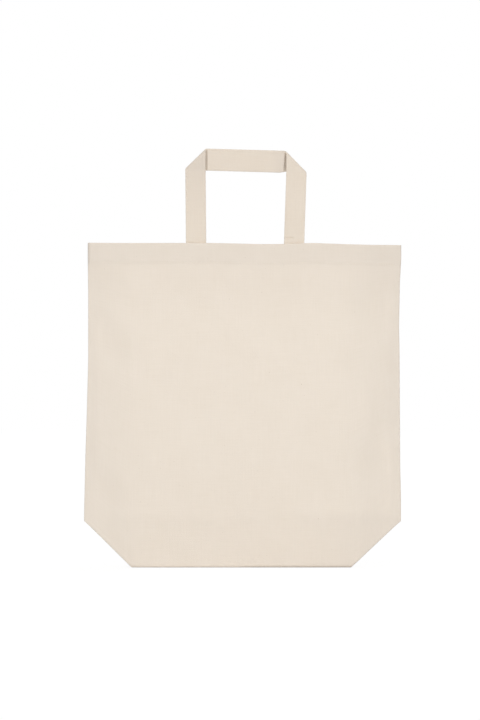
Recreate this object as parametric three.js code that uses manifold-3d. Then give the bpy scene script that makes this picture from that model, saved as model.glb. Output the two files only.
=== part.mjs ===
// Cotton shopper bag: a boxed bag of plain cloth with a turned hem and two folded strap handles.
// Millimetres, +Z up, the front faces -Y, the origin is on the floor under the middle of the base.
import * as THREE from "three";
import { mergeVertices } from "three/addons/utils/BufferGeometryUtils.js";
import Module from "manifold-3d";

const wasm = await Module();
wasm.setup();

// Driving dimensions
const bagWidth = 402; // from side seam to side seam
const bagHeight = 413; // from the floor to the top edge
const bagDepth = 68; // inside, between the front and back panels
const baseWidth = 286; // length of the flat base between its slanted corners
const cornerRise = 58; // height where the slanted corner meets the side seam
const cloth = 0.8; // thickness of one layer of cloth
const baseBend = 13.6; // width of the strip along the middle of the base that bends when the bag folds
const hemDepth = 27; // height of the turned hem
const hemTurn = 1.6; // two more layers that the turned hem adds inside
const strapWidth = 25;
const strapThickness = 2;
const handleSpan = 154; // outside to outside of a handle's two legs
const handleRise = 120; // top edge of the bag to the top of the handle

// Fits
const seamGap = 0.3; // between pieces that are sewn together
const creaseGap = 0.8; // at the upright creases between a panel and its sides
const baseCreaseGap = 1.2; // between a panel's inside face and the crease of the base
const hingeGap = 1.3; // between the top edge and the foot of a handle's leg
const mitreLap = 0.2; // how far the two layers of a folded handle corner are pressed together
const flatAngle = 9.5; // degrees, between a side and its panel when the bag lies folded flat

// Worked out from them
const halfBase = baseWidth / 2;
const halfDepth = bagDepth / 2;
const sideRun = (bagWidth - baseWidth) / 2;
const sideLength = Math.hypot(sideRun, halfDepth);
const sideAngle = Math.atan2(halfDepth, sideRun);
const cornerLength = Math.hypot(sideRun, cornerRise);
const cornerAngle = Math.atan2(cornerRise, sideRun);
const hemStop = (hemTurn + seamGap) / Math.sin(THREE.MathUtils.degToRad(flatAngle));
const strapFace = hemTurn + seamGap; // inside face of the panel to the outside face of the strap
const legMiddle = (handleSpan - strapWidth) / 2;

const canvas = new THREE.MeshStandardMaterial({ color: "#ece1d3", roughness: 0.95, metalness: 0 });
const strap = new THREE.MeshStandardMaterial({ color: "#e5d9ca", roughness: 0.95, metalness: 0 });

// A slab standing upright: its outline is in x and z, and its thickness runs from y = 0 to -Y.
function slab(outline, thickness) {
  const shape = new THREE.Shape(outline.map(([x, z]) => new THREE.Vector2(x, z)));
  const geometry = new THREE.ExtrudeGeometry(shape, { depth: thickness, bevelEnabled: false });
  return geometry.rotateX(Math.PI / 2);
}

// A profile in y and z carried along x, centred on x = 0.
function channel(profile, length) {
  const shape = new THREE.Shape(profile.map(([y, z]) => new THREE.Vector2(y, z)));
  const geometry = new THREE.ExtrudeGeometry(shape, { depth: length, bevelEnabled: false });
  const alongX = new THREE.Matrix4().makeBasis(
    new THREE.Vector3(0, 1, 0),
    new THREE.Vector3(0, 0, 1),
    new THREE.Vector3(1, 0, 0),
  );
  return geometry.translate(0, 0, -length / 2).applyMatrix4(alongX);
}

function solid(geometry) {
  const bare = geometry.clone();
  bare.deleteAttribute("normal");
  bare.deleteAttribute("uv");
  const merged = mergeVertices(bare, 1e-4);
  return new wasm.Manifold(
    new wasm.Mesh({
      numProp: 3,
      vertProperties: new Float32Array(merged.attributes.position.array),
      triVerts: new Uint32Array(merged.index.array),
    }),
  );
}

// Several overlapping geometries joined into one closed body.
function joined(...geometries) {
  const [first, ...rest] = geometries.map(solid);
  const { vertProperties, triVerts } = rest.reduce((sum, next) => sum.add(next), first).getMesh();
  const geometry = new THREE.BufferGeometry();
  geometry.setAttribute("position", new THREE.BufferAttribute(vertProperties, 3));
  geometry.setIndex(new THREE.BufferAttribute(triVerts, 1));
  geometry.computeVertexNormals();
  return geometry;
}

function piece(name, geometry, material) {
  const mesh = new THREE.Mesh(geometry, material);
  mesh.name = name;
  return mesh;
}

// The flat middle of the front or back, with its hem turned in along the top.
function panel(name) {
  const profile = [
    [-cloth, 0],
    [0, 0],
    [0, bagHeight - hemDepth],
    [hemTurn, bagHeight - hemDepth],
    [hemTurn, bagHeight],
    [-cloth, bagHeight],
  ];
  const mesh = piece(name, channel(profile, baseWidth - 2 * creaseGap), canvas);
  mesh.position.y = -halfDepth;
  return mesh;
}

// The slanted side of a panel, from its upright crease to the side seam, cut off at the bottom corner.
function side(name, hand) {
  const slope = cornerRise / sideLength;
  const near = creaseGap;
  const far = sideLength - seamGap;
  const wall = slab(
    [
      [hand * near, near * slope + seamGap],
      [hand * far, far * slope + seamGap],
      [hand * far, bagHeight],
      [hand * near, bagHeight],
    ],
    cloth,
  );
  const hem = slab(
    [
      [hand * near, bagHeight - hemDepth],
      [hand * (sideLength - hemStop), bagHeight - hemDepth],
      [hand * (sideLength - hemStop), bagHeight],
      [hand * near, bagHeight],
    ],
    hemTurn + cloth / 2,
  );
  const mesh = piece(name, joined(wall, hem.translate(0, hemTurn, 0)), canvas);
  mesh.position.set(hand * halfBase, -halfDepth, 0);
  mesh.rotation.z = hand * sideAngle;
  return mesh;
}

// Half of the base, from the crease under its panel to the bend along the middle.
function baseHalf(name) {
  const near = -halfDepth + baseCreaseGap + seamGap;
  const far = -baseBend / 2;
  const geometry = new THREE.BoxGeometry(baseWidth - 2 * seamGap, far - near, cloth);
  const mesh = piece(name, geometry, canvas);
  mesh.position.set(0, (near + far) / 2, cloth / 2);
  return mesh;
}

// The strip along the middle of the base, where the cloth bends when the base folds up.
function baseMiddle(name) {
  const geometry = new THREE.BoxGeometry(baseWidth - 2 * seamGap, baseBend - 2 * seamGap, cloth);
  const mesh = piece(name, geometry, canvas);
  mesh.position.z = cloth / 2;
  return mesh;
}

// The slanted triangle that closes a bottom corner, from the end of the base up to the side seam.
function corner(name, hand) {
  const foot = 2 * cloth;
  const inset = 2 * seamGap;
  const tip = cornerLength - inset * (cornerLength / halfDepth);
  const footHalf = halfDepth * (1 - foot / cornerLength) - inset;
  const shape = new THREE.Shape([
    new THREE.Vector2(foot, -footHalf),
    new THREE.Vector2(tip, 0),
    new THREE.Vector2(foot, footHalf),
  ]);
  const geometry = new THREE.ExtrudeGeometry(shape, { depth: cloth, bevelEnabled: false });
  const mesh = piece(name, geometry.translate(0, 0, -cloth), canvas);
  mesh.rotation.y = -cornerAngle;
  const end = new THREE.Group();
  end.position.x = hand * halfBase;
  end.rotation.z = hand > 0 ? 0 : Math.PI;
  end.add(mesh);
  return end;
}

// The end of a strap, sewn to the inside of the hem.
function strapEnd(name, hand) {
  const length = hemDepth - 2 * seamGap;
  const geometry = new THREE.BoxGeometry(strapWidth, strapThickness, length);
  const mesh = piece(name, geometry, strap);
  mesh.position.set(
    hand * legMiddle,
    -halfDepth + strapFace + strapThickness / 2,
    bagHeight - seamGap - length / 2,
  );
  return mesh;
}

// One strap folded into a square arch: at each top corner it is folded back on the slant, so the
// level part runs behind the two legs.
function handle(name) {
  const outer = handleSpan / 2;
  const inner = outer - strapWidth;
  const foot = bagHeight + hingeGap;
  const top = bagHeight + handleRise;
  const below = top - strapWidth;
  const leg = (hand) =>
    slab(
      [
        [hand * inner, foot],
        [hand * outer, foot],
        [hand * outer, below],
        [hand * inner, top],
      ],
      strapThickness,
    ).translate(0, strapThickness, 0);
  const level = slab(
    [
      [-outer, below],
      [outer, below],
      [inner, top],
      [-inner, top],
    ],
    strapThickness,
  ).translate(0, 2 * strapThickness - mitreLap, 0);
  const mesh = piece(name, joined(leg(-1), leg(1), level), strap);
  mesh.position.y = -halfDepth + strapFace;
  return mesh;
}

// Everything on one face of the bag. Turned half round, it makes the other face.
function face(names) {
  const group = new THREE.Group();
  group.add(
    panel(names.panel),
    side(names.minusSide, -1),
    side(names.plusSide, 1),
    baseHalf(names.base),
    strapEnd(names.minusEnd, -1),
    strapEnd(names.plusEnd, 1),
    handle(names.handle),
  );
  return group;
}

const front = face({
  panel: "front_panel",
  minusSide: "front_left_side",
  plusSide: "front_right_side",
  base: "base_front",
  minusEnd: "front_left_strap_end",
  plusEnd: "front_right_strap_end",
  handle: "front_handle",
});

const back = face({
  panel: "back_panel",
  minusSide: "back_right_side",
  plusSide: "back_left_side",
  base: "base_back",
  minusEnd: "back_right_strap_end",
  plusEnd: "back_left_strap_end",
  handle: "back_handle",
});
back.rotation.z = Math.PI;

const bag = new THREE.Group();
bag.name = "shopper_bag";
bag.add(front, back, baseMiddle("base_middle"), corner("left_corner", -1), corner("right_corner", 1));

export default bag;
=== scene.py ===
import math

import bpy
import numpy as np
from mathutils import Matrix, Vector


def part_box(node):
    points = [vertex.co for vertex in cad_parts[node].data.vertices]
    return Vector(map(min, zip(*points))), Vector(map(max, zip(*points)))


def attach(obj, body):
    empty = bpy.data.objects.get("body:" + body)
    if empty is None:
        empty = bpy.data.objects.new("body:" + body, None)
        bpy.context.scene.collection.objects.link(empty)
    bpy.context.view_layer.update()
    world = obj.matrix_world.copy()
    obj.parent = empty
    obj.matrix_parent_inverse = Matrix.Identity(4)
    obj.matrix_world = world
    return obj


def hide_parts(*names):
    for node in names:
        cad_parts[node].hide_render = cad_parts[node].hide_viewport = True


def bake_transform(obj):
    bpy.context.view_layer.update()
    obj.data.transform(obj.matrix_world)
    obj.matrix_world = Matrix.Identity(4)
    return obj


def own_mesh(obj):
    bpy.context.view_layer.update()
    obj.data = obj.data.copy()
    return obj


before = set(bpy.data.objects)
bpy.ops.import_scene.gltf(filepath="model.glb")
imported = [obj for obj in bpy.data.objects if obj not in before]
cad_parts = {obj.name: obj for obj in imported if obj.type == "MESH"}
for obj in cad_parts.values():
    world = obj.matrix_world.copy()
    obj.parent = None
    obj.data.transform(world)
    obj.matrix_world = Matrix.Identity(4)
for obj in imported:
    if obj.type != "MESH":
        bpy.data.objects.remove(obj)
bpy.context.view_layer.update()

# Lengths in this file are millimetres, and the meshes are metres.
MM = 0.001
FRONT, BACK = -1, 1
LEFT, RIGHT = -1, 1


def node_box(node):
    """Lowest and highest corner of a solid in the frame, in mm."""
    return [[round(value / MM, 2) for value in corner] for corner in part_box(node)]


# The bag. A place across a wall is a share u of its half width, from -1 at the left seam to 1 at the right.
PANEL_CLOTH = 0.8  # thickness of the solid panels
PANEL_LOW, PANEL_HIGH = node_box("front_panel")
BAG_HEIGHT = PANEL_HIGH[2]
HALF_DEPTH = -PANEL_LOW[1] - PANEL_CLOTH / 2  # middle of the bag to the middle of the cloth
HALF_WIDTH = 200.0
CORNER_RISE = 58.5  # height where the slanted corner meets the side seam
CORNER_RUN = 82.0  # length of the slanted edge
LEFT_CREASE, RIGHT_CREASE = 0.703, 0.687  # upright creases, as shares of the half width
CREASE_SOFT = 0.5  # how far the crease is rounded, as a share of the side's width
SEAM_HALF_GAP = 0.13  # middle of the bag to the middle of the cloth at a side seam
RUN_GAP = 0.04  # left free where two pieces are one run of cloth
CLOTH = 0.75
FLOOR_LIFT = 0.42  # floor to the middle of the base's cloth

# Side seams, as heights and distances from the middle; top edge, as places across and heights
LEFT_SEAM = ((66, 202.6), (138, 201.0), (200, 199.0), (265, 197.3), (350, 197.3), (395, 197.9))
RIGHT_SEAM = (
    (90, 201.4), (125, 200.5), (280, 199.5), (306, 198.95), (340, 199.55), (365, 200.05), (393, 201.75),
)
TOP_EDGE = (
    (-200, 414.2), (-150, 413.6), (-40, 413.6), (22, 412.2), (46, 412.3),
    (88, 413.6), (130, 412.1), (160, 411.4), (202, 411.2),
)

# Turned hem: the roll over the top edge, the turned-under raw edge and how far the hem flattens at the seams
HEM_DEPTH = 27.0
HEM_ROLL = 0.9
RAW_TURN = 0.45
HEM_SQUEEZE = 0.7
HEM_RIPPLE, HEM_RIPPLES = 0.12, 60

# Turn from a wall into the base: its radius, and how much more it is between two places right of the middle
TUCK, TUCK_MORE = 1.75, 1.55
TUCK_MORE_STARTS, TUCK_MORE_ENDS = (-0.04, 0.14), (0.74, 0.66)
TUCK_LIMIT = 0.5  # most that the radius may be, as a share of the depth

# Turn of a wall into a side seam: its radius, how much more at the left end of the hem, and its fade
SEAM_TURN = 1.2
HEM_BULK, HEM_BULK_HEIGHTS = 2.4, (378, 392)
SEAM_TURN_FADE = (0.02, 0.2)

# Sag of the walls: the low bulge, the hollow above it, and the stretches over which both fade out
BULGE_OUT, BULGE_HEIGHT, BULGE_REACH = 5.0, 130, 85
HOLLOW_IN, HOLLOW_HEIGHT, HOLLOW_REACH = 3.6, 318, 62
SAG_FOOT, SAG_HEAD, SAG_SPAN = (0, 60), (0, 70), 0.86

# Mouth, drawn in beside the straps and in the middle, and the ridge pressed along the bottom edge
MOUTH_FROM = 290
MOUTH_SIDE, MOUTH_SIDE_AT, MOUTH_SIDE_REACH = 2.4, 128, 30
MOUTH_MIDDLE, MOUTH_MIDDLE_REACH = 1.0, 26
PRESSED, PRESSED_HEIGHT, PRESSED_REACH = 0.55, 3.0, 1.6
PRESSED_FADE = (0, 0.1)

# Soft folds: middle, direction in radians, half length, half width and height of each
FOLDS = {
    FRONT: (
        ((-150, 340), 1.15, 70, 16, 0.9),
        ((-120, 385), 0.35, 60, 12, -0.5),
        ((40, 250), 0.5, 110, 30, -0.7),
        ((-60, 170), 0.9, 100, 34, 0.7),
        ((110, 150), 0.75, 90, 24, 0.8),
        ((150, 300), 1.5, 110, 14, -0.6),
        ((-150, 150), 1.45, 120, 18, 0.5),
        ((90, 66), 0.04, 120, 9, 0.5),
        ((-80, 66), -0.03, 110, 9, 0.4),
        ((160, 80), 0.8, 40, 12, 0.8),
        ((-165, 75), 2.3, 40, 12, 0.8),
        ((66, 372), 1.57, 40, 16, -0.6),
        ((-61, 368), 1.57, 46, 18, -0.6),
    ),
    BACK: (
        ((-120, 320), 1.0, 90, 18, 1.9),
        ((80, 340), 2.2, 80, 18, 1.6),
        ((20, 210), 0.3, 130, 30, -2.0),
        ((-90, 130), 2.4, 100, 24, 1.8),
        ((120, 140), 0.8, 100, 22, 2.0),
        ((0, 66), 0.02, 150, 10, 0.7),
        ((160, 90), 0.8, 44, 12, 1.2),
        ((-160, 85), 2.3, 44, 12, 1.2),
    ),
}
FOLDS_OFF_BOTTOM, FOLDS_OFF_SEAM, FOLDS_OFF_TOP = (0, 30), (0, 0.12), (2, 45)

# Ripples over a wall and dents down its sides: heights, wave lengths and shifts of the waves
RIPPLE, RIPPLE_ACROSS, RIPPLE_UP, RIPPLE_LEAN, RIPPLE_SHIFT = 0.35, 17, 41, 0.013, 1.3
FINE_RIPPLE, FINE_RIPPLE_LENGTH = 0.2, 11
DENT, DENT_LENGTH, DENT_SIDE_SHIFT, DENT_FACE_SHIFT = 1.8, 36, 2.2, 0.8
SMALL_DENT, SMALL_DENT_LENGTH, SMALL_DENT_SHIFT = 0.8, 15, 9
DENTS_FROM_CREASE, DENTS_OFF_SEAM = (0.7, 0.84), (0, 0.09)

# Painted shade, as a share of a layer of cloth: the hem where the cloth lies double and the shade below it,
# # the band along the base, darker towards the right, the seam allowances, a dark line at the bulky left end
# # of the hem, the middle of the slanted corners and the seam fins
HEM_SHADE_EDGE = (-6, 3)
BELOW_HEM_SHADE, BELOW_HEM_SHADE_FADE = 0.72, (-80, -4)
BAND_HEIGHT, BAND_WAVE, BAND_WAVE_LENGTH, BAND_EDGE = 66, 2, 60, (-8, 8)
BAND_SHADE, BAND_MORE_SHADE, BAND_MORE_SHADE_FADE = 0.2, 0.6, (60, 140)
SEAM_SHADE, SEAM_SHADE_WIDTH, SEAM_SHADE_EDGE = 0.32, 13, (-1.2, 1.2)
BULK_SHADE, BULK_SHADE_FADE, BULK_SHADE_HEIGHTS = 1.9, (3.4, 0.4), (384, 390)
CORNER_SHADE, CORNER_SHADE_REACH = 0.6, 9.0
FIN_SHADE = 0.5

# Middle fold of the base, and the slanted corners' hollow and seam groove
BASE_LIFT, BASE_LIFT_REACH = 0.3, 0.06
CORNER_TIP = 0.997  # where a corner ends, as a share of the half width
CORNER_HOLLOW = 1.6
GROOVE, GROOVE_REACH, GROOVE_STARTS = 0.5, 0.8, (0, 0.1)
CORNER_INTO = 0.7  # share of the hollow along x and along z

# Seam allowance inside a side seam, a slim fin: where it starts and ends in from the seam, half its
# thickness, how far its ends stay off the slanted corner and the hem, and its waves
FIN_START, FIN_END, FIN_HALF = 1.7, 10.5, 0.75
FIN_FOOT, FIN_HEAD = 3.0, 1.4
FIN_WAVE, FIN_WAVE_LENGTH = 1.1, 21
FIN_RIPPLE, FIN_RIPPLE_LENGTH = 0.6, 8.5

# Rows and columns of the cloth's grids
MIDDLE_COLUMNS, SIDE_COLUMNS = 97, 32
SEAM_CROWDING = 1.5  # how much closer the columns stand at the seams
TUCK_ROWS, WALL_ROWS, ROLL_ROWS, HEM_ROWS, RAW_ROWS = 4, 150, 8, 13, 5
BASE_ROWS = 20
CORNER_ROWS, CORNER_COLUMNS = 36, 41
FIN_ROWS, FIN_COLUMNS = 110, 5
EDGE_POINTS = 6  # points round a half round edge

# Handles, each a strip that starts at the left foot and is folded over on the slant twice
STRAP_WIDTH = 26.0
STRAP_THICK = 1.9
END_LOW, END_HIGH = node_box("front_left_strap_end")
STRAP_BACK = -round((END_LOW[1] + END_HIGH[1]) / 2, 2)  # middle of the bag to the middle of a leg's strap
STRAP_FOOT = 387.0
LEFT_LEG = -60.6  # middle of the left leg
LEFT_FOLD_HEIGHT = 517.0
LEFT_FOLD_RADIUS, RIGHT_FOLD_RADIUS = 2.0, 2.8
SLANT = math.radians(44.2)
LEVEL_RUN = 126.9  # along the strip from fold to fold
LEG_RUN = 134.0  # along the strip from the second fold to its end
FIRST_FOLD = LEFT_FOLD_HEIGHT - STRAP_FOOT
SECOND_FOLD = FIRST_FOLD + LEVEL_RUN
STRAP_LENGTH = SECOND_FOLD + LEG_RUN
TURNS_RUN = math.pi * (RIGHT_FOLD_RADIUS * math.cos(SLANT) - LEFT_FOLD_RADIUS * math.sin(SLANT))
RIGHT_LEG = LEFT_LEG + LEVEL_RUN * math.sin(2 * SLANT) + TURNS_RUN
LEFT_LEG_EDGE, RIGHT_LEG_EDGE = LEFT_LEG + STRAP_WIDTH / 2, RIGHT_LEG - STRAP_WIDTH / 2

# How the strap lies: slack in the level part, its step back behind the legs, and its place between them
LEVEL_SLACK, LEVEL_SLACK_STARTS = 2.2, (2, 16)
FURTHER_FROM = 18
LEVEL_BACK, LEVEL_HEIGHTS = 1.2, (500, 503)
WEDGE_START, LEFT_WEDGE, RIGHT_WEDGE = 0.2, 3.2, ((506, 4.8), (530, 2.2))
LEFT_LEAN, RIGHT_LEAN, LEAN_REACH = 0.8, 3.0, 40  # how far the foot of each leg stands in
LEAN_HEIGHT, LEAN_RUN = 505, 90
TIP_OVER, TIP_FROM, TIP_RUN = 1.2, 8, 120  # how the handle tips back above the hem
STRAP_WAVE, STRAP_WAVE_UP, STRAP_WAVE_ACROSS, STRAP_WAVE_STARTS = 0.5, 23, 31, (10, 40)
BACK_SPREAD, BACK_RISE_STARTS = 1.004, (5, 50)  # how the back handle differs
FOOT_DENT, FOOT_DENT_RISE, FOOT_DENT_FALL, FOOT_DENT_SIDE = 0.9, (411, 420), (421.5, 420.3), (67, 62)

# Painted shade on the strap: deeper up the left leg and in the corners; painted light on the right leg and at
# the left foot
LEFT_LEG_SHADE = ((430, -0.6), (500, 0.7))
LEFT_CORNER_SHADE, LEFT_CORNER_HEIGHTS = 0.9, (503, 509)
RIGHT_CORNER_SHADE, RIGHT_CORNER_START, RIGHT_CORNER_HEIGHTS = 1.1, (30, 53), (503, 507)
RIGHT_LEG_LIGHT = -0.4
LEG_EDGE_SOFT = 1  # half the stretch over which a leg's tone starts at its edge

# Rows of a strap: all along, closer at its folds and where its feet bend, and its thinned raw ends
STRAP_ROWS, STRAP_COLUMNS = 150, 15
FOLD_ROWS, FOLD_REACH = 68, 22
FOOT_ROWS, FOOT_FROM, FOOT_TO = 36, 24, 38
RAW_END, RAW_END_RUN = 0.35, 0.9

# Stitches: places along a rod, its size there, how high it stands, and the thread's radius
ROD_PLACES = (0.0, 0.12, 0.3, 0.5, 0.7, 0.88, 1.0)
ROD_SIZES = (0.35, 0.8, 1.0, 1.0, 1.0, 0.8, 0.35)
ROD_SINK = 0.45
ROD_SIDES = 6
THREAD, FINE_THREAD = 0.22, 0.2
HEM_STITCHES, HEM_STITCH_SPAN = 122, 0.975
HEM_STITCH_START, HEM_STITCH_STOP = 0.0006, 0.0024
HEM_STITCH_UP, HEM_LIFT_INSIDE, HEM_LIFT_OUTSIDE = 2.4, 0.3, -0.2
EDGE_STITCH_IN, EDGE_STITCH_STEP, EDGE_STITCH_RUN, EDGE_LIFT = 2.2, 3.2, 2.6, 0.16
EDGE_STITCH_FIRST, EDGE_STITCH_LAST = 2.5, 4
BOX_LOW, BOX_HALF_WIDTH, BOX_HEIGHT = 391.0, 9.5, 18
BOX_STITCH_STEP, BOX_STITCH_GAP, BOX_LIFT = 2.8, 0.09, 0.22
OVERLOCK_FOOT, OVERLOCK_HEAD, OVERLOCK_STEP = 5.0, 4.0, 2.6
OVERLOCK_IN, OVERLOCK_OVER, OVERLOCK_SLANT, OVERLOCK_LIFT = 4.2, 0.4, 1.3, 0.2

# Colours from 0 to 255, and shares of the mixed tones
CANVAS_PALE, CANVAS_DEEP = (242, 231, 218), (234, 222, 207)
STRAP_PALE, STRAP_DEEP = (237, 226, 212), (226, 214, 198)
THREAD_PALE, THREAD_DEEP = (243, 233, 220), (233, 222, 208)
# painted shade: this deeper colour is mixed in where cloth lies double and where shade falls
DOUBLED_SHADE_TONE, DOUBLED_SHADE_SHARE = (208, 197, 187), 0.17
FLECK_TONE, FLECK_SHARE = (150, 125, 95), 0.35
SLUB_RANGE, SLUB_SHARE = (0.2, 0.8), 0.6
MOTTLE_RANGE, MOTTLE_SHARE = (0.1, 0.9), 0.4

# Weave in yarns per metre, noise in cycles per metre along the cloth's map, and the bump
CANVAS_YARNS, STRAP_YARNS = 1600.0, 1500.0
WARP_SLUB, WEFT_SLUB = (620.0, 26.0, 1.0), (30.0, 700.0, 1.0)
MOTTLE, MOTTLE_DETAIL = (24.0, 20.0, 1.0), 3.0
FLECKS, FLECKS_DETAIL, FLECKS_RANGE = (520.0, 430.0, 1.0), 1.0, (0.76, 0.82)
TWIST, TWIST_DETAIL, TWIST_RANGE = (2600.0, 2600.0, 2600.0), 1.0, (0.35, 0.65)
CROSSING_HEIGHT, SLUB_HEIGHT = 0.35, 1.2
BUMP_STRENGTH, BUMP_DISTANCE = 0.35, 0.0004
CLOTH_FINISH = {
    "Roughness": 0.9,
    "Specular IOR Level": 0.15,
    "Sheen Weight": 0.05,
    "Subsurface Weight": 0.18,
    "Subsurface Radius": (1.0, 1.0, 0.95),
    "Subsurface Scale": 0.002,
}
THREAD_FINISH = {"Roughness": 0.7, "Specular IOR Level": 0.25}

# Stage: half the floor's length in metres and its look, and the lamps with spreads and turns in degrees
FLOOR_HALF = 30.0
FLOOR_GREY, FLOOR_GLOW, FLOOR_SEEN = 0.82, 1.06, 0.85
AMBIENT = 0.65
LAMPS = (("front_lamp", 1.11, 40, (72, 0, -3)), ("back_lamp", 0.6, 60, (50, 0, 150)))

# Camera: the picture's height in pixels, scale, distance, aim and sensor in mm, and clipping in metres
PICTURE_HEIGHT = 720
MM_PER_PIXEL = 1.277
CAMERA_AWAY = 16000.0
AIM_X, AIM_Z = -3.83, 264.4
SENSOR = 36.0
CLIP_START, CLIP_END = 0.1, 100.0


# Helpers


def soft_step(start, end, value):
    """0 up to start, 1 past end and smooth between them; where end is below start, it falls instead."""
    share = np.clip((value - start) / (end - start), 0, 1)
    return share * share * (3 - 2 * share)


def bell(value, reach):
    """1 where the value is 0, falling off to both sides as exp(-(value / reach) squared)."""
    return np.exp(-((value / reach) ** 2))


def stretches(value, stops):
    """Straight stretches between stops, which are pairs of a place and the value there."""
    places, values = zip(*stops)
    return np.interp(value, places, values)


def stacked(*parts):
    """Points from their coordinates, each spread to the shape that all of them share."""
    return np.stack(np.broadcast_arrays(*parts), axis=-1)


def running_length(points):
    """Length along a line of points from the first one: the sum of the steps so far."""
    steps = np.linalg.norm(np.diff(points, axis=0), axis=-1)
    return np.concatenate([[0], np.cumsum(steps)])


def grid_faces(rows, cols, around=False, flip=False):
    """Quads of a grid of rows by cols points; around also joins the last column to the first."""
    index = np.arange(rows * cols).reshape(rows, cols)
    if around:
        index = np.concatenate([index, index[:, :1]], axis=1)
    corners = [index[:-1, :-1], index[:-1, 1:], index[1:, 1:], index[1:, :-1]]
    quads = np.stack(corners, axis=-1).reshape(-1, 4)
    return quads[:, ::-1] if flip else quads


def tube_faces(rows, around, mirror, flip=False):
    """Quads of a tube of that many rings, closed at both ends. A ring is its own mirror image, with point i
    opposite point mirror - i, and an end is closed across it from pair to pair."""
    near = (mirror + 1) // 2 + np.arange(around // 2 - 1)
    cap = np.stack([near, near + 1, mirror - near - 1, mirror - near], axis=-1) % around
    sides = grid_faces(rows, around, around=True)
    faces = np.concatenate([sides, cap[:, ::-1], cap + (rows - 1) * around])
    return faces[:, ::-1] if flip else faces


def make_piece(name, points, faces, material, uv=None, **values):
    """A smooth mesh object from points in mm, with a UV map in metres and float attributes by name."""
    mesh = bpy.data.meshes.new(name)
    mesh.from_pydata((points.reshape(-1, 3) * MM).tolist(), [], faces.tolist())
    mesh.polygons.foreach_set("use_smooth", np.ones(len(mesh.polygons), bool))
    corners = np.empty(len(mesh.loops), np.int32)
    mesh.loops.foreach_get("vertex_index", corners)
    if uv is not None:
        layer = mesh.uv_layers.new(name="cloth")
        layer.data.foreach_set("uv", (uv.reshape(-1, 2)[corners] * MM).astype(np.float32).ravel())
    for label, value in values.items():
        attribute = mesh.attributes.new(label, "FLOAT", "POINT")
        attribute.data.foreach_set("value", np.asarray(value, np.float32).ravel())
    mesh.materials.append(material)
    mesh.validate()
    piece = bpy.data.objects.new(name, mesh)
    bpy.context.scene.collection.objects.link(piece)
    return piece


def thicken(piece):
    """Gives a sheet the cloth's thickness, half to each side."""
    wall = piece.modifiers.new("thickness", "SOLIDIFY")
    wall.thickness = CLOTH * MM
    wall.offset = 0
    return piece


# The bag's outline


def half_width(u, z):
    """Distance from the middle to the side seam at height z, on the left (u < 0) or right."""
    return np.where(u < 0, stretches(z, LEFT_SEAM), stretches(z, RIGHT_SEAM))


def off_seam(u):
    """Share of the half width between a place across and the nearer side seam."""
    return 1 - np.abs(u)


def top_edge(u):
    """Height of the top edge: it falls a little from left to right and is drawn up at the right strap."""
    return stretches(HALF_WIDTH * u, TOP_EDGE)


def crease(u):
    """Where the upright crease stands on the left (u < 0) or right, as a share of the half width."""
    return np.where(u < 0, LEFT_CREASE, RIGHT_CREASE)


def bottom_edge(u):
    """Height of the bottom edge: level along the base, then straight up the slanted corners."""
    return CORNER_RISE * np.clip((np.abs(u) - crease(u)) / (1 - crease(u)), 0, 1)


def depth_at(u):
    """Distance of the cloth from the middle plane: the smooth minimum of a flat front and a slope that
    runs out to the side seam."""
    slope = off_seam(u) / (1 - crease(u))
    mix = np.clip(0.5 + 0.5 * (slope - 1) / CREASE_SOFT, 0, 1)
    level = slope * (1 - mix) + mix - CREASE_SOFT * mix * (1 - mix)
    return SEAM_HALF_GAP + (HALF_DEPTH - SEAM_HALF_GAP) * level


def tuck_radius(u):
    """Radius of the turn from the wall into the base: larger right of the middle, smaller near the seams."""
    more = TUCK_MORE * soft_step(*TUCK_MORE_STARTS, u) * soft_step(*TUCK_MORE_ENDS, u)
    return np.minimum(TUCK + more, TUCK_LIMIT * depth_at(u))


def sag(u, z):
    """How far the wall stands out: a bell low down less a bell higher up, fading towards the base and the top
    edge, and as a parabola towards the sides."""
    bulge = BULGE_OUT * bell(z - BULGE_HEIGHT, BULGE_REACH)
    hollow = HOLLOW_IN * bell(z - HOLLOW_HEIGHT, HOLLOW_REACH)
    fade = soft_step(*SAG_FOOT, z) * soft_step(*SAG_HEAD, BAG_HEIGHT - z)
    return (bulge - hollow) * fade * np.clip(1 - (u / SAG_SPAN) ** 2, 0, 1)


def seam_turn(u, z):
    """How far the wall stands out close to a side seam, where it turns in on a quarter circle."""
    bulk = HEM_BULK * soft_step(*HEM_BULK_HEIGHTS, z)
    radius = np.where(u < 0, SEAM_TURN + bulk, SEAM_TURN)
    share = np.clip(off_seam(u) * half_width(u, z) / radius, 0, 1)
    return radius * np.sqrt(1 - (1 - share) ** 2) * (1 - soft_step(*SEAM_TURN_FADE, off_seam(u)))


def mouth_draw(x, z):
    """How far the wall is drawn in towards the mouth: a bell beside each strap and one in the middle."""
    beside = MOUTH_SIDE * bell(np.abs(x) - MOUTH_SIDE_AT, MOUTH_SIDE_REACH)
    return soft_step(MOUTH_FROM, BAG_HEIGHT, z) * (beside + MOUTH_MIDDLE * bell(x, MOUTH_MIDDLE_REACH))


def pressed_edge(u, z):
    """The slight ridge along the bottom edge, where the fold was pressed: a bell over the height above it."""
    above = z - bottom_edge(u) - PRESSED_HEIGHT
    return PRESSED * bell(above, PRESSED_REACH) * soft_step(*PRESSED_FADE, off_seam(u))


def ridge(x, z, at, turn, length, width):
    """A soft fold: 1 in its middle, falling off as one bell along its direction and another across it."""
    along = (x - at[0]) * math.cos(turn) + (z - at[1]) * math.sin(turn)
    across = (z - at[1]) * math.cos(turn) - (x - at[0]) * math.sin(turn)
    return bell(across, width) * bell(along, length)


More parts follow.
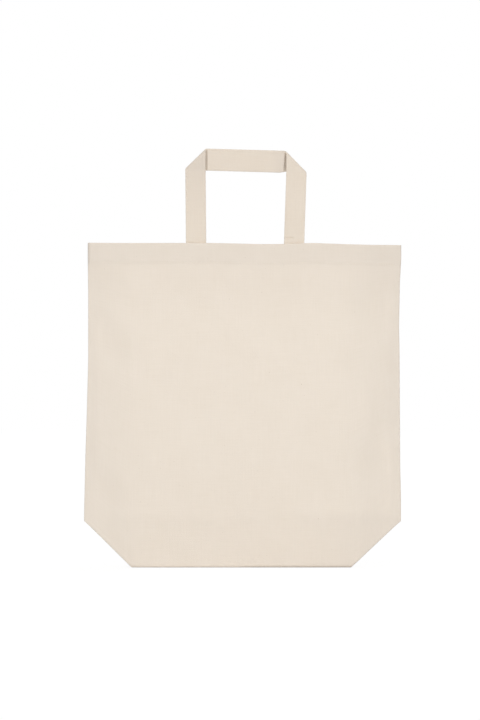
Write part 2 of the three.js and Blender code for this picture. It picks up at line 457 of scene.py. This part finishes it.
def soft_folds(face, u, x, z):
    """Unevenness of a wall: its folds, sine ripples all over and sine dents down its sides, all fading out
    towards the edges."""
    folds = sum(height * ridge(x, z, *place) for *place, height in FOLDS[face])
    wave = np.sin(x / RIPPLE_ACROSS + RIPPLE_LEAN * z) * np.sin(z / RIPPLE_UP + RIPPLE_SHIFT * face)
    ripple = RIPPLE * wave + FINE_RIPPLE * np.sin((x + z) / FINE_RIPPLE_LENGTH)
    long = np.sin(z / DENT_LENGTH + DENT_SIDE_SHIFT * np.sign(u) + DENT_FACE_SHIFT * face)
    short = np.sin(z / SMALL_DENT_LENGTH + SMALL_DENT_SHIFT * u)
    side = soft_step(*DENTS_FROM_CREASE, np.abs(u)) * soft_step(*DENTS_OFF_SEAM, off_seam(u))
    dents = side * (DENT * long + SMALL_DENT * short)
    inner = soft_step(*FOLDS_OFF_BOTTOM, z - bottom_edge(u)) * soft_step(*FOLDS_OFF_SEAM, off_seam(u))
    return inner * soft_step(*FOLDS_OFF_TOP, BAG_HEIGHT - z) * (folds + ripple + dents)


def wall_point(face, u, z):
    """A point of the front or back cloth: x is the share u of the half width, and y is the depth with the
    sag, the turn at the seam, the drawn-in mouth, the pressed edge and the soft folds added."""
    x = u * half_width(u, z)
    out = depth_at(u) + sag(u, z) + seam_turn(u, z) - mouth_draw(x, z) + pressed_edge(u, z)
    return stacked(x, face * (out + soft_folds(face, u, x, z)), z)


def inward(face, u, z):
    """Unit vector, level and square to the cloth, that points into the bag: from the slope of the depth."""
    small = 1e-3
    slope = (depth_at(u + small) - depth_at(u - small)) / (2 * small) / half_width(u, z)
    size = np.sqrt(1 + slope ** 2)
    return stacked(slope / size, -face / size, 0.0 * z)


# Cloth of the walls, the base, the corners and the seams


def columns():
    """Shares of the half width from seam to seam: even between the creases, and closer and closer, as a
    power, towards the seams."""
    middle = np.linspace(-LEFT_CREASE, RIGHT_CREASE, MIDDLE_COLUMNS)
    run = 1 - (1 - np.linspace(0, 1, SIDE_COLUMNS + 1)[1:]) ** SEAM_CROWDING
    left = LEFT_CREASE + (1 - LEFT_CREASE) * run
    right = RIGHT_CREASE + (1 - RIGHT_CREASE) * run
    return np.concatenate([-left[::-1], middle, right])


def cloth_rows(u):
    """Heights of the cloth's rows, and how far in from the wall each lies: a quarter turn from the base, the
    wall, a half turn over the top edge, the hem down inside and a half turn under at its raw edge."""
    low, high, room = bottom_edge(u) + FLOOR_LIFT, top_edge(u) - HEM_ROLL - CLOTH / 2, tuck_radius(u)
    turn = np.linspace(0, np.pi / 2, TUCK_ROWS + 1)[:-1, None]
    rise = np.linspace(0, 1, WALL_ROWS)[:, None]
    roll = np.linspace(0, np.pi, ROLL_ROWS + 1)[1:, None]
    drop = np.linspace(0, 1, HEM_ROWS + 1)[1:, None]
    under = np.linspace(0, np.pi, RAW_ROWS + 1)[1:, None]
    wall_z = low + room + (high - low - room) * rise
    hem_z = high - (HEM_DEPTH - HEM_ROLL) * drop
    z = np.concatenate([
        low + room * (1 - np.cos(turn)),
        wall_z,
        high + HEM_ROLL * np.sin(roll),
        hem_z,
        hem_z[-1:] - RAW_TURN * np.sin(under),
    ])
    squeeze = np.minimum(1, HEM_SQUEEZE * depth_at(u) / (2 * HEM_ROLL))
    offset = np.concatenate([
        room * (1 - np.sin(turn)),
        0 * wall_z,
        squeeze * HEM_ROLL * (1 - np.cos(roll)),
        squeeze * (2 * HEM_ROLL + HEM_RIPPLE * np.sin(u * HEM_RIPPLES) * np.sin(np.pi * drop)),
        squeeze * (2 * HEM_ROLL - RAW_TURN * (1 - np.cos(under))),
    ])
    return z, offset


def cloth_layers(u, x, z):
    """Painted shade, as a share of a layer of cloth: the most of the hem, where the cloth lies double, with a
    fade of shade below it, the band along the base and the seam allowances, and on top of that a dark line at
    the bulky left end of the hem."""
    above = z - (top_edge(u) - HEM_DEPTH)
    # painted shade: the hem darker where the cloth lies double, and a fade of shade below it
    hem = np.maximum(soft_step(*HEM_SHADE_EDGE, above), BELOW_HEM_SHADE * soft_step(*BELOW_HEM_SHADE_FADE, above))
    # painted shade: a band along the base, darker towards the right
    band = soft_step(*BAND_EDGE, BAND_HEIGHT + BAND_WAVE * np.sin(x / BAND_WAVE_LENGTH) - z)
    band = band * (BAND_SHADE + BAND_MORE_SHADE * soft_step(*BAND_MORE_SHADE_FADE, x))
    # painted shade along the seam allowances, where the cloth lies double
    allowance = soft_step(*SEAM_SHADE_EDGE, np.abs(x) - (half_width(u, z) - SEAM_SHADE_WIDTH))
    # painted shadow: a dark line at the bulky left end of the hem
    bulk = soft_step(*BULK_SHADE_FADE, off_seam(u) * half_width(u, z)) * soft_step(*BULK_SHADE_HEIGHTS, z)
    return np.maximum(hem, np.maximum(band, SEAM_SHADE * allowance)) + BULK_SHADE * bulk * (u < 0)


def bag_cloth(name, face, material):
    """One face of the bag from seam to seam, as columns of the rows that cloth_rows gives, moved in from the
    wall. The map runs along the cloth: across by width and depth, up by the middle column's length."""
    u = columns()[None, :]
    z, offset = cloth_rows(u)
    points = wall_point(face, u, z) + offset[..., None] * inward(face, u, z)
    middle = u.size // 2
    arc = running_length(stacked(u[0] * HALF_WIDTH, depth_at(u[0])))
    run = running_length(points[:, middle])
    uv = stacked((arc - arc[middle])[None, :], run[:, None])
    layers = cloth_layers(u, points[..., 0], z)
    faces = grid_faces(*z.shape, flip=face == BACK)
    return thicken(make_piece(name, points, faces, material, uv, layers=layers))


def base_half(name, face, material):
    """Half of the base, from the tuck under its wall to the fold along the middle, where it lifts as a
    bell."""
    u = np.linspace(-LEFT_CREASE, RIGHT_CREASE, MIDDLE_COLUMNS)[None, :]
    share = np.linspace(0, 1, BASE_ROWS)[:, None]
    edge = depth_at(u) - tuck_radius(u) - RUN_GAP
    x = u * half_width(u, 0.0)
    y = edge + (RUN_GAP - edge) * share
    z = FLOOR_LIFT + BASE_LIFT * bell(share - 1, BASE_LIFT_REACH)
    faces = grid_faces(*y.shape, flip=face == FRONT)
    return thicken(make_piece(name, stacked(x, face * y, z), faces, material, stacked(x, y), layers=0 * y))


def slanted_corner(name, hand, material):
    """The triangle of cloth from the end of the base up to the side seam: it spans the tucked edges of the
    walls and hollows inwards, as a parabola across and a sine along, with a bell groove down its middle."""
    start = LEFT_CREASE if hand == LEFT else RIGHT_CREASE
    share = np.linspace(start, CORNER_TIP, CORNER_ROWS)[:, None]
    u = hand * share
    z = bottom_edge(u) + FLOOR_LIFT
    tucked = wall_point(FRONT, u, z) + tuck_radius(u)[..., None] * inward(FRONT, u, z)
    x, half = tucked[..., 0], -tucked[..., 1] - RUN_GAP
    across = np.linspace(-1, 1, CORNER_COLUMNS)[None, :]
    y = across * half
    rise = (share - start) / (1 - start)
    hollow = CORNER_HOLLOW * (1 - across ** 2) * np.sin(np.pi * rise)
    groove = GROOVE * bell(y, GROOVE_REACH) * soft_step(*GROOVE_STARTS, rise)
    into = CORNER_INTO * (hollow + groove)
    points = stacked(x - hand * into, y, z + into)
    uv = stacked(y, CORNER_RUN * rise)
    # painted shade along the corner's middle seam, where the cloth lies double
    layers = CORNER_SHADE * np.exp(-((y / CORNER_SHADE_REACH) ** 4))
    faces = grid_faces(*y.shape, flip=hand == LEFT)
    return thicken(make_piece(name, points, faces, material, uv, layers=layers))


def fin_point(hand, inset, side, z):
    """A point of a seam allowance, by its distance in from the seam and its height above the fin's middle,
    which waves more and more towards the free edge."""
    x = hand * (half_width(hand, z) - inset)
    wave = FIN_WAVE * np.sin(z / FIN_WAVE_LENGTH + hand) + FIN_RIPPLE * np.sin(z / FIN_RIPPLE_LENGTH)
    return stacked(x, side + wave * soft_step(FIN_START, FIN_END, inset), z)


def seam_allowance(name, hand, material):
    """The two raw edges of a side seam, which stand inwards from it as one slim fin: flat faces with half
    round edges, carried up the seam."""
    z = np.linspace(CORNER_RISE + FIN_FOOT, top_edge(hand) - HEM_DEPTH - FIN_HEAD, FIN_ROWS)[:, None]
    turn = np.linspace(-np.pi / 2, np.pi / 2, EDGE_POINTS)
    flat = np.linspace(FIN_START, FIN_END, FIN_COLUMNS + 2)[1:-1]
    out, up, level = FIN_HALF * np.cos(turn), FIN_HALF * np.sin(turn), FIN_HALF + 0 * flat
    inset = np.concatenate([flat, FIN_END + out, flat[::-1], FIN_START - out])[None, :]
    side = np.concatenate([-level, up, level, -up])[None, :]
    points = fin_point(hand, inset, side, z)
    faces = tube_faces(*points.shape[:2], mirror=2 * FIN_COLUMNS + EDGE_POINTS - 1, flip=hand == RIGHT)
    # painted shade on the seam allowance, where the cloth lies double
    layers = np.full(points.shape[:2], FIN_SHADE)
    return make_piece(name, points, faces, material, stacked(inset, z), layers=layers)


# Handles


def fold_over(place, side, through, across, radius):
    """Turns over what lies past a fold line: h is the distance past the line, the turn is a half circle of
    that radius, and what follows runs back the other way. side is the height above the strap's middle."""
    h = (place - through) @ across
    arc = np.pi * radius
    angle = np.pi * np.clip(h / arc, 0, 1)
    past = np.minimum(h, 0) + (radius + side) * np.sin(angle) - np.maximum(h - arc, 0)
    depth = radius - (radius + side) * np.cos(angle)
    return place + (past - h)[..., None] * across, depth


def past_middle(along):
    """Whether a point lies past the middle of the level part, on the right leg's half of the strip."""
    return along > FIRST_FOLD + LEVEL_RUN / 2


def folded_strip(along, across, side):
    """The strip folded over on the slant twice, the far fold first, so that its level part lies behind its
    two legs and comes forward between them: x, z and how far back each point lies."""
    place = np.stack([LEFT_LEG + across, STRAP_FOOT + along], axis=-1)
    first = np.array([LEFT_LEG, LEFT_FOLD_HEIGHT])
    second = np.array([LEFT_LEG, LEFT_FOLD_HEIGHT + LEVEL_RUN])
    up_left = np.array([-math.sin(SLANT), math.cos(SLANT)])
    up_right = np.array([math.cos(SLANT), math.sin(SLANT)])
    place, second_depth = fold_over(place, side, second, up_right, RIGHT_FOLD_RADIUS)
    place, first_depth = fold_over(place, side, first, up_left, LEFT_FOLD_RADIUS)
    x, z = place[..., 0], place[..., 1]
    late = past_middle(along)
    step = 2 * (RIGHT_FOLD_RADIUS - LEFT_FOLD_RADIUS)
    further = step * soft_step(FURTHER_FROM, LEVEL_RUN / 2, along - FIRST_FOLD)
    back = np.where(late, 2 * RIGHT_FOLD_RADIUS - second_depth, first_depth + further)
    level_back = np.where(late, 2 * RIGHT_FOLD_RADIUS, 2 * LEFT_FOLD_RADIUS + further)
    off_left = soft_step(WEDGE_START, LEFT_WEDGE, x - LEFT_LEG_EDGE)
    off_right = soft_step(WEDGE_START, stretches(z, RIGHT_WEDGE), RIGHT_LEG_EDGE - x)
    between = off_left * off_right * soft_step(*LEVEL_HEIGHTS, z)
    return x, z, back - between * (level_back - LEVEL_BACK)


def strap_point(face, along, across, side):
    """A point of a handle: the folded strip with a wider level part, legs whose feet stand in, a parabola
    that tips it back and a sine wave. along starts at the left foot, across is from the strip's middle and
    side out of it. The back handle is a little wider and higher, and the front one is dented at its right
    foot."""
    along, across, side = np.broadcast_arrays(along, across, side)
    slack = soft_step(*LEVEL_SLACK_STARTS, along - FIRST_FOLD)
    slack = slack * soft_step(*LEVEL_SLACK_STARTS, SECOND_FOLD - along)
    across = across - LEVEL_SLACK * slack * (0.5 - across / STRAP_WIDTH)
    x, z, back = folded_strip(along, across, side)
    late = past_middle(along)
    left_lean = LEFT_LEAN * (1 - late) * soft_step(0, -LEAN_REACH, x)
    right_lean = RIGHT_LEAN * late * soft_step(0, LEAN_REACH, x)
    x = x + (left_lean - right_lean) * np.clip((LEAN_HEIGHT - z) / LEAN_RUN, 0, 1)
    above = z - BAG_HEIGHT
    tip = TIP_OVER * (np.clip(above - TIP_FROM, 0, None) / TIP_RUN) ** 2
    wave = STRAP_WAVE * np.sin(z / STRAP_WAVE_UP + x / STRAP_WAVE_ACROSS)
    wave = wave * soft_step(*STRAP_WAVE_STARTS, above)
    if face == BACK:
        x = x * BACK_SPREAD
        z = z + soft_step(*BACK_RISE_STARTS, above)
    dent = FOOT_DENT * soft_step(*FOOT_DENT_RISE, z) * soft_step(*FOOT_DENT_FALL, z)
    dent = dent * soft_step(*FOOT_DENT_SIDE, x) * late * (face == FRONT)
    return np.stack([x, face * (STRAP_BACK - tip + wave - dent - back), z], axis=-1)


def strap_profile():
    """Half round edges joined by flat faces: points across the strap and above its middle, all round it."""
    turn = np.linspace(-np.pi / 2, np.pi / 2, EDGE_POINTS)
    half, edge = STRAP_WIDTH / 2 - STRAP_THICK / 2, STRAP_THICK / 2
    flat = np.linspace(half, -half, STRAP_COLUMNS + 2)[1:-1]
    out, up, level = half + edge * np.cos(turn), edge * np.sin(turn), edge + 0 * flat
    return np.concatenate([out, flat, -out, -flat]), np.concatenate([up, level, -up, -level])


def strap_layers(x, z):
    """Painted shade and light on the strap, as a share of a layer of cloth: shade at its left corner, where
    it lies double, growing up the left leg, and shade where the level part goes behind the right leg; painted
    light at the foot of the left leg and all along the right leg."""
    left = soft_step(LEFT_LEG_EDGE + LEG_EDGE_SOFT, LEFT_LEG_EDGE - LEG_EDGE_SOFT, x)
    right = soft_step(RIGHT_LEG_EDGE - LEG_EDGE_SOFT, RIGHT_LEG_EDGE + LEG_EDGE_SOFT, x)
    # painted shade up the left leg and at its corner, painted light at its foot
    corner = stretches(z, LEFT_LEG_SHADE) + LEFT_CORNER_SHADE * soft_step(*LEFT_CORNER_HEIGHTS, z)
    # painted shadow where the level part goes behind the right leg
    behind = RIGHT_CORNER_SHADE * soft_step(*RIGHT_CORNER_START, x) * soft_step(*RIGHT_CORNER_HEIGHTS, z)
    # painted light: the right leg lighter all along
    return 1 + left * corner + (1 - right) * behind + RIGHT_LEG_LIGHT * right


def handle_strap(name, face, material):
    """The whole strap of one handle with its two sewn ends: its profile carried along the folded strip and
    thinned as a square root at the raw ends."""
    folds = np.array([FIRST_FOLD, SECOND_FOLD])
    at_folds = (folds[:, None] + np.linspace(-FOLD_REACH, FOLD_REACH, FOLD_ROWS)[None, :]).ravel()
    at_foot = np.linspace(FOOT_FROM, FOOT_TO, FOOT_ROWS)
    rows = [np.linspace(0, STRAP_LENGTH, STRAP_ROWS), at_folds, at_foot, STRAP_LENGTH - at_foot]
    along = np.unique(np.concatenate(rows))[:, None]
    across, side = (part[None, :] for part in strap_profile())
    ends = np.minimum(along, STRAP_LENGTH - along)
    thin = RAW_END + (1 - RAW_END) * np.sqrt(np.clip(ends / RAW_END_RUN, 0, 1))
    points = strap_point(face, along, across, side * thin)
    faces = tube_faces(*points.shape[:2], mirror=EDGE_POINTS - 1, flip=face == FRONT)
    layers = strap_layers(points[..., 0], points[..., 2])
    return make_piece(name, points, faces, material, stacked(across, along), layers=layers)


# Sewing


def stitch_row(starts, ends, lift, radius):
    """Stitches as slim bent rods: each runs from its start to its end, sinks into the cloth at both tips and
    stands lift above it in the middle, as the root of a sine. lift holds a vector for each stitch."""
    share = np.array(ROD_PLACES)[None, :, None]
    size = np.array(ROD_SIZES)[None, :, None]
    rise = np.sin(np.pi * share) ** 0.5 - ROD_SINK
    run = ends - starts
    middle = starts[:, None] + run[:, None] * share + lift[:, None] * rise
    run = run / np.linalg.norm(run, axis=-1, keepdims=True)
    up = lift / np.linalg.norm(lift, axis=-1, keepdims=True)
    beside = np.cross(up, run)
    turn = np.linspace(0, 2 * np.pi, ROD_SIDES + 1)[:-1, None]
    ring = (np.cos(turn) * beside[:, None, None] + np.sin(turn) * up[:, None, None]) * radius
    points = middle[:, :, None] + ring * size[..., None]
    count, rings, around = points.shape[:3]
    one = tube_faces(rings, around, mirror=ROD_SIDES - 1)
    faces = (np.arange(count) * rings * around)[:, None, None] + one[None]
    return points.reshape(-1, 3), faces.reshape(-1, 4)


def sewn(name, rows, material):
    """One piece from several rows of stitches: each row's faces count on from the points before it."""
    shift = np.cumsum([0] + [len(points) for points, _ in rows])
    points = np.concatenate([points for points, _ in rows])
    faces = np.concatenate([faces + start for (_, faces), start in zip(rows, shift)])
    return make_piece(name, points, faces, material)


def hem_rows(face):
    """Stitches along the hem from seam to seam, on the outside and the inside of the cloth."""
    rows = []
    u = np.linspace(-HEM_STITCH_SPAN, HEM_STITCH_SPAN, HEM_STITCHES + 1)
    shares = u[:-1] + HEM_STITCH_START, u[1:] - HEM_STITCH_STOP
    middle = sum(shares) / 2
    for away, lift in ((-CLOTH / 2, HEM_LIFT_OUTSIDE), (2 * HEM_ROLL + CLOTH / 2, HEM_LIFT_INSIDE)):
        ends = []
        for share in shares:
            z = top_edge(share) - HEM_DEPTH + HEM_STITCH_UP
            ends.append(wall_point(face, share, z) + away * inward(face, share, z))
        up = inward(face, middle, 0 * middle + BAG_HEIGHT) * lift
        rows.append(stitch_row(*ends, up, THREAD))
    return rows


def strap_rows(face):
    """Stitches along both edges of a handle's strap, on both of its sides."""
    rows = []
    at = np.arange(EDGE_STITCH_FIRST, STRAP_LENGTH - EDGE_STITCH_LAST, EDGE_STITCH_STEP)
    line, level = STRAP_WIDTH / 2 - EDGE_STITCH_IN, STRAP_THICK / 2
    for across in (-line, line):
        for side in (-1, 1):
            start = strap_point(face, at, across, side * level)
            end = strap_point(face, at + EDGE_STITCH_RUN, across, side * level)
            middle = strap_point(face, at + EDGE_STITCH_RUN / 2, across, side * level)
            out = strap_point(face, at + EDGE_STITCH_RUN / 2, across, side * (level + EDGE_LIFT))
            rows.append(stitch_row(start, end, out - middle, FINE_THREAD))
    return rows


def strap_end_rows(face):
    """A rectangle of stitches that holds each strap end to the hem, seen on the strap inside the bag."""
    rows = []
    box = BOX_HALF_WIDTH * np.array([[-1, 0], [1, 0], [1, 0], [-1, 0], [-1, 0]])
    box = box + BOX_HEIGHT * np.array([[0, 0], [0, 0], [0, 1], [0, 1], [0, 0]])
    for middle in (LEFT_LEG + LEFT_LEAN, RIGHT_LEG - RIGHT_LEAN):
        corners = box + [middle, BOX_LOW]
        for start, end in zip(corners[:-1], corners[1:]):
            count = int(np.linalg.norm(end - start) // BOX_STITCH_STEP)
            line = start + (end - start) * np.linspace(0, 1, count + 1)[:, None]
            path = stacked(line[:, 0], face * (STRAP_BACK - STRAP_THICK / 2), line[:, 1])
            gap = (path[1:] - path[:-1]) * BOX_STITCH_GAP
            lift = np.tile([0.0, -face * BOX_LIFT, 0.0], (count, 1))
            rows.append(stitch_row(path[:-1] + gap, path[1:] - gap, lift, THREAD))
    return rows


def overlock_rows(hand):
    """Slanted stitches over the free edge of a seam allowance, on both of its sides."""
    z = np.arange(CORNER_RISE + OVERLOCK_FOOT, top_edge(hand) - HEM_DEPTH - OVERLOCK_HEAD, OVERLOCK_STEP)
    rows = []
    for side in (-1, 1):
        start = fin_point(hand, FIN_END - OVERLOCK_IN, side * FIN_HALF, z)
        end = fin_point(hand, FIN_END + OVERLOCK_OVER, side * FIN_HALF, z + OVERLOCK_SLANT * side)
        lift = np.tile([0.0, side * OVERLOCK_LIFT, 0.0], (len(z), 1))
        rows.append(stitch_row(start, end, lift, THREAD))
    return rows


# Materials


def linear(colour):
    """A shader colour from its 0 to 255 values."""
    share = np.array(colour) / 255
    value = np.where(share <= 0.04045, share / 12.92, ((share + 0.055) / 1.055) ** 2.4)
    return (*value.tolist(), 1.0)


class Nodes:
    """Short names for adding nodes and joining their sockets."""

    def __init__(self, tree):
        self.tree = tree

    def add(self, kind, **settings):
        """A node of that kind with its settings."""
        node = self.tree.nodes.new(kind)
        for name, value in settings.items():
            setattr(node, name, value)
        return node

    def join(self, source, target):
        """A link from an output to an input."""
        self.tree.links.new(source, target)

    def feed(self, sockets, values):
        """Each value on its socket: plain ones are set, and outputs are joined."""
        for socket, value in zip(sockets, values):
            if isinstance(value, (int, float, tuple)):
                socket.default_value = value
            else:
                self.join(value, socket)

    def math(self, operation, *values):
        """The result of one sum on one or two values."""
        node = self.add("ShaderNodeMath", operation=operation)
        self.feed(node.inputs, values)
        return node.outputs[0]

    def noise(self, vector, scale, detail=2.0):
        """Noise at a scale for each direction, in cycles per metre."""
        mapping = self.add("ShaderNodeMapping")
        texture = self.add("ShaderNodeTexNoise")
        self.feed((mapping.inputs["Vector"], mapping.inputs["Scale"]), (vector, scale))
        inputs = texture.inputs
        self.feed((inputs["Vector"], inputs["Scale"], inputs["Detail"]), (mapping.outputs[0], 1.0, detail))
        return texture.outputs["Fac"]

    def mix(self, factor, first, second):
        """The first colour at factor 0, the second at 1 and a straight mix between them."""
        node = self.add("ShaderNodeMix", data_type="RGBA")
        self.feed((node.inputs[0], node.inputs[6], node.inputs[7]), (factor, first, second))
        return node.outputs[2]

    def ramp(self, value, low, high):
        """0 at low, 1 at high and straight between them."""
        node = self.add("ShaderNodeMapRange")
        inputs = node.inputs
        self.feed((inputs["Value"], inputs["From Min"], inputs["From Max"]), (value, low, high))
        return node.outputs[0]


def weave_group():
    """Plain weave and the unevenness of cotton yarn on a cloth's own map: Height for the bump, Slub for thick
    and thin yarn along both directions, Mottle for slow changes and Fleck for specks of seed."""
    tree = bpy.data.node_groups.new("plain_weave", "ShaderNodeTree")
    tree.interface.new_socket("Vector", in_out="INPUT", socket_type="NodeSocketVector")
    pitch = tree.interface.new_socket("Yarns per metre", in_out="INPUT", socket_type="NodeSocketFloat")
    pitch.default_value = CANVAS_YARNS
    n = Nodes(tree)
    source, result = n.add("NodeGroupInput"), n.add("NodeGroupOutput")
    vector = source.outputs["Vector"]
    parts = n.add("ShaderNodeSeparateXYZ")
    n.join(vector, parts.inputs[0])
    phase = n.math("MULTIPLY", source.outputs["Yarns per metre"], math.pi)
    warp = n.math("SINE", n.math("MULTIPLY", parts.outputs["X"], phase))
    weft = n.math("SINE", n.math("MULTIPLY", parts.outputs["Y"], phase))
    crossing = n.math("MULTIPLY", n.math("MULTIPLY", warp, weft), CROSSING_HEIGHT)
    slub = n.math("MULTIPLY", n.math("ADD", n.noise(vector, WARP_SLUB), n.noise(vector, WEFT_SLUB)), 0.5)
    waves = {
        "Height": n.math("ADD", crossing, n.math("MULTIPLY", slub, SLUB_HEIGHT)),
        "Slub": slub,
        "Mottle": n.noise(vector, MOTTLE, MOTTLE_DETAIL),
        "Fleck": n.ramp(n.noise(vector, FLECKS, FLECKS_DETAIL), *FLECKS_RANGE),
    }
    for label, value in waves.items():
        tree.interface.new_socket(label, in_out="OUTPUT", socket_type="NodeSocketFloat")
        n.join(value, result.inputs[label])
    return tree


def new_material(name, finish):
    """A material whose shader has the values that are the same all over, with its node helper and shader."""
    material = bpy.data.materials.new(name)
    material.use_nodes = True
    shader = material.node_tree.nodes["Principled BSDF"]
    for label, value in finish.items():
        shader.inputs[label].default_value = value
    return material, Nodes(material.node_tree), shader


def cloth_material(name, weave, pale, deep, yarns):
    """Unbleached cotton: two tones mixed by the yarn and by slow mottling, a deeper painted shade tone where
    cloth lies double and where shade falls, a few specks, and the weave as bump."""
    material, n, shader = new_material(name, CLOTH_FINISH)
    group = n.add("ShaderNodeGroup", node_tree=weave)
    place = n.add("ShaderNodeUVMap", uv_map="cloth")
    n.feed((group.inputs["Vector"], group.inputs["Yarns per metre"]), (place.outputs[0], yarns))
    slub = n.math("MULTIPLY", n.ramp(group.outputs["Slub"], *SLUB_RANGE), SLUB_SHARE)
    mottle = n.math("MULTIPLY", n.ramp(group.outputs["Mottle"], *MOTTLE_RANGE), MOTTLE_SHARE)
    colour = n.mix(n.math("ADD", slub, mottle), linear(deep), linear(pale))
    layers = n.add("ShaderNodeAttribute", attribute_name="layers")
    # painted shade: the colour darkens by the attribute that counts cloth lying double and shade
    layer_shade = n.math("MULTIPLY", layers.outputs["Fac"], DOUBLED_SHADE_SHARE)
    colour = n.mix(layer_shade, colour, linear(DOUBLED_SHADE_TONE))
    fleck = n.math("MULTIPLY", group.outputs["Fleck"], FLECK_SHARE)
    n.join(n.mix(fleck, colour, linear(FLECK_TONE)), shader.inputs["Base Color"])
    bump = n.add("ShaderNodeBump")
    bump.inputs["Strength"].default_value = BUMP_STRENGTH
    bump.inputs["Distance"].default_value = BUMP_DISTANCE
    n.join(group.outputs["Height"], bump.inputs["Height"])
    n.join(bump.outputs[0], shader.inputs["Normal"])
    return material


def thread_material(name, pale, deep):
    """Sewing thread: two tones in a fine twist and a soft gloss."""
    material, n, shader = new_material(name, THREAD_FINISH)
    place = n.add("ShaderNodeTexCoord")
    twist = n.ramp(n.noise(place.outputs["Object"], TWIST, TWIST_DETAIL), *TWIST_RANGE)
    n.join(n.mix(twist, linear(deep), linear(pale)), shader.inputs["Base Color"])
    return material


weave = weave_group()
canvas = cloth_material("natural_cotton", weave, CANVAS_PALE, CANVAS_DEEP, CANVAS_YARNS)
strap_cloth = cloth_material("cotton_strap", weave, STRAP_PALE, STRAP_DEEP, STRAP_YARNS)
thread = thread_material("cotton_thread", THREAD_PALE, THREAD_DEEP)

# Pieces


def folds_flat(piece):
    """The piece is attached to the front body, on a mesh of its own."""
    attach(piece, "front")
    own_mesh(piece)


def bends_over_hem(piece):
    """The piece's transform is baked into its mesh; it runs from the wall it is sewn to up past the top edge
    into the handle.
    """
    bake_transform(piece)


inner_edges = []
for hand, label in ((LEFT, "left"), (RIGHT, "right")):
    fin = seam_allowance(f"{label}_seam_allowance", hand, canvas)
    overlock = sewn(f"{label}_seam_overlock", overlock_rows(hand), thread)
    folds_flat(fin)
    folds_flat(overlock)
    inner_edges += [fin, overlock]

for face, label in ((FRONT, "front"), (BACK, "back")):
    cloth = bag_cloth(f"{label}_cloth", face, canvas)
    hem = sewn(f"{label}_hem_stitching", hem_rows(face), thread)
    folds_flat(hem)
    folds_flat(cloth)
    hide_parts(f"{label}_panel", f"{label}_left_side", f"{label}_right_side")

    base = base_half(f"base_{label}_cloth", face, canvas)
    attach(base, f"base_{label}")
    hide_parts(f"base_{label}")
    if face == FRONT:
        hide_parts("base_middle")

    strap = handle_strap(f"{label}_handle_strap", face, strap_cloth)
    bends_over_hem(strap)
    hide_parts(f"{label}_handle", f"{label}_left_strap_end", f"{label}_right_strap_end")

    edges = sewn(f"{label}_strap_stitching", strap_rows(face), thread)
    bends_over_hem(edges)

    box = sewn(f"{label}_strap_end_stitching", strap_end_rows(face), thread)
    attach(box, label)

for hand, label in ((LEFT, "left"), (RIGHT, "right")):
    corner = slanted_corner(f"{label}_corner_cloth", hand, canvas)
    folds_flat(corner)
    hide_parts(f"{label}_corner")

# Stage


def seen_rays(n):
    """1 for a ray from the camera, straight or by way of gloss or glass: the sum of Light Path's three."""
    path = n.add("ShaderNodeLightPath")
    seen = n.math("ADD", path.outputs["Is Camera Ray"], path.outputs["Is Glossy Ray"])
    return n.math("ADD", seen, path.outputs["Is Transmission Ray"])


def blended(n, share, lighting, seen, target):
    """One shader for the light and another for what is seen, mixed by share into the target socket."""
    blend = n.add("ShaderNodeMixShader")
    n.feed(blend.inputs, (share, lighting.outputs[0], seen.outputs[0]))
    n.join(blend.outputs[0], target)


def floor_material():
    """White floor: plain matt white for the light, and near white to the camera, with the shadow kept."""
    material = bpy.data.materials.new("white_floor")
    material.use_nodes = True
    material.node_tree.nodes.clear()
    n = Nodes(material.node_tree)
    out = n.add("ShaderNodeOutputMaterial")
    matt = n.add("ShaderNodeBsdfDiffuse")
    matt.inputs["Color"].default_value = (FLOOR_GREY, FLOOR_GREY, FLOOR_GREY, 1)
    glow = n.add("ShaderNodeEmission")
    glow.inputs["Strength"].default_value = FLOOR_GLOW
    share = n.math("MULTIPLY", seen_rays(n), FLOOR_SEEN)
    blended(n, share, matt, glow, out.inputs["Surface"])
    return material


def lay_floor():
    """A flat square under the bag."""
    size = FLOOR_HALF
    mesh = bpy.data.meshes.new("floor")
    corners = [(-size, -size, 0), (size, -size, 0), (size, size, 0), (-size, size, 0)]
    mesh.from_pydata(corners, [], [(0, 1, 2, 3)])
    mesh.materials.append(floor_material())
    floor = bpy.data.objects.new("floor", mesh)
    bpy.context.scene.collection.objects.link(floor)


def light_all_round():
    """A world of even soft light, which the camera sees as plain white."""
    world = bpy.data.worlds.new("soft_light")
    bpy.context.scene.world = world
    world.use_nodes = True
    n = Nodes(world.node_tree)
    ambient, plain = world.node_tree.nodes["Background"], n.add("ShaderNodeBackground")
    for background, strength in ((ambient, AMBIENT), (plain, 1.0)):
        background.inputs["Color"].default_value = (1, 1, 1, 1)
        background.inputs["Strength"].default_value = strength
    blended(n, seen_rays(n), ambient, plain, world.node_tree.nodes["World Output"].inputs["Surface"])


def lamp(name, strength, angle, turn):
    """A broad soft lamp far away, turned about X and then Z."""
    light = bpy.data.lights.new(name, "SUN")
    light.energy = strength
    light.angle = math.radians(angle)
    holder = bpy.data.objects.new(name, light)
    holder.rotation_euler = [math.radians(value) for value in turn]
    bpy.context.scene.collection.objects.link(holder)


def set_camera():
    """A camera far in front of the bag, whose lens takes in the picture's height at the bag."""
    lens = bpy.data.cameras.new("camera")
    lens.sensor_width = SENSOR
    lens.lens = SENSOR * CAMERA_AWAY / (PICTURE_HEIGHT * MM_PER_PIXEL)
    lens.clip_start, lens.clip_end = CLIP_START, CLIP_END
    camera = bpy.data.objects.new("camera", lens)
    camera.location = (AIM_X * MM, -CAMERA_AWAY * MM, AIM_Z * MM)
    camera.rotation_euler = (math.pi / 2, 0, 0)
    bpy.context.scene.collection.objects.link(camera)
    bpy.context.scene.camera = camera


lay_floor()
light_all_round()
for settings in LAMPS:
    lamp(*settings)
set_camera()

bpy.context.scene.view_settings.view_transform = "Standard"
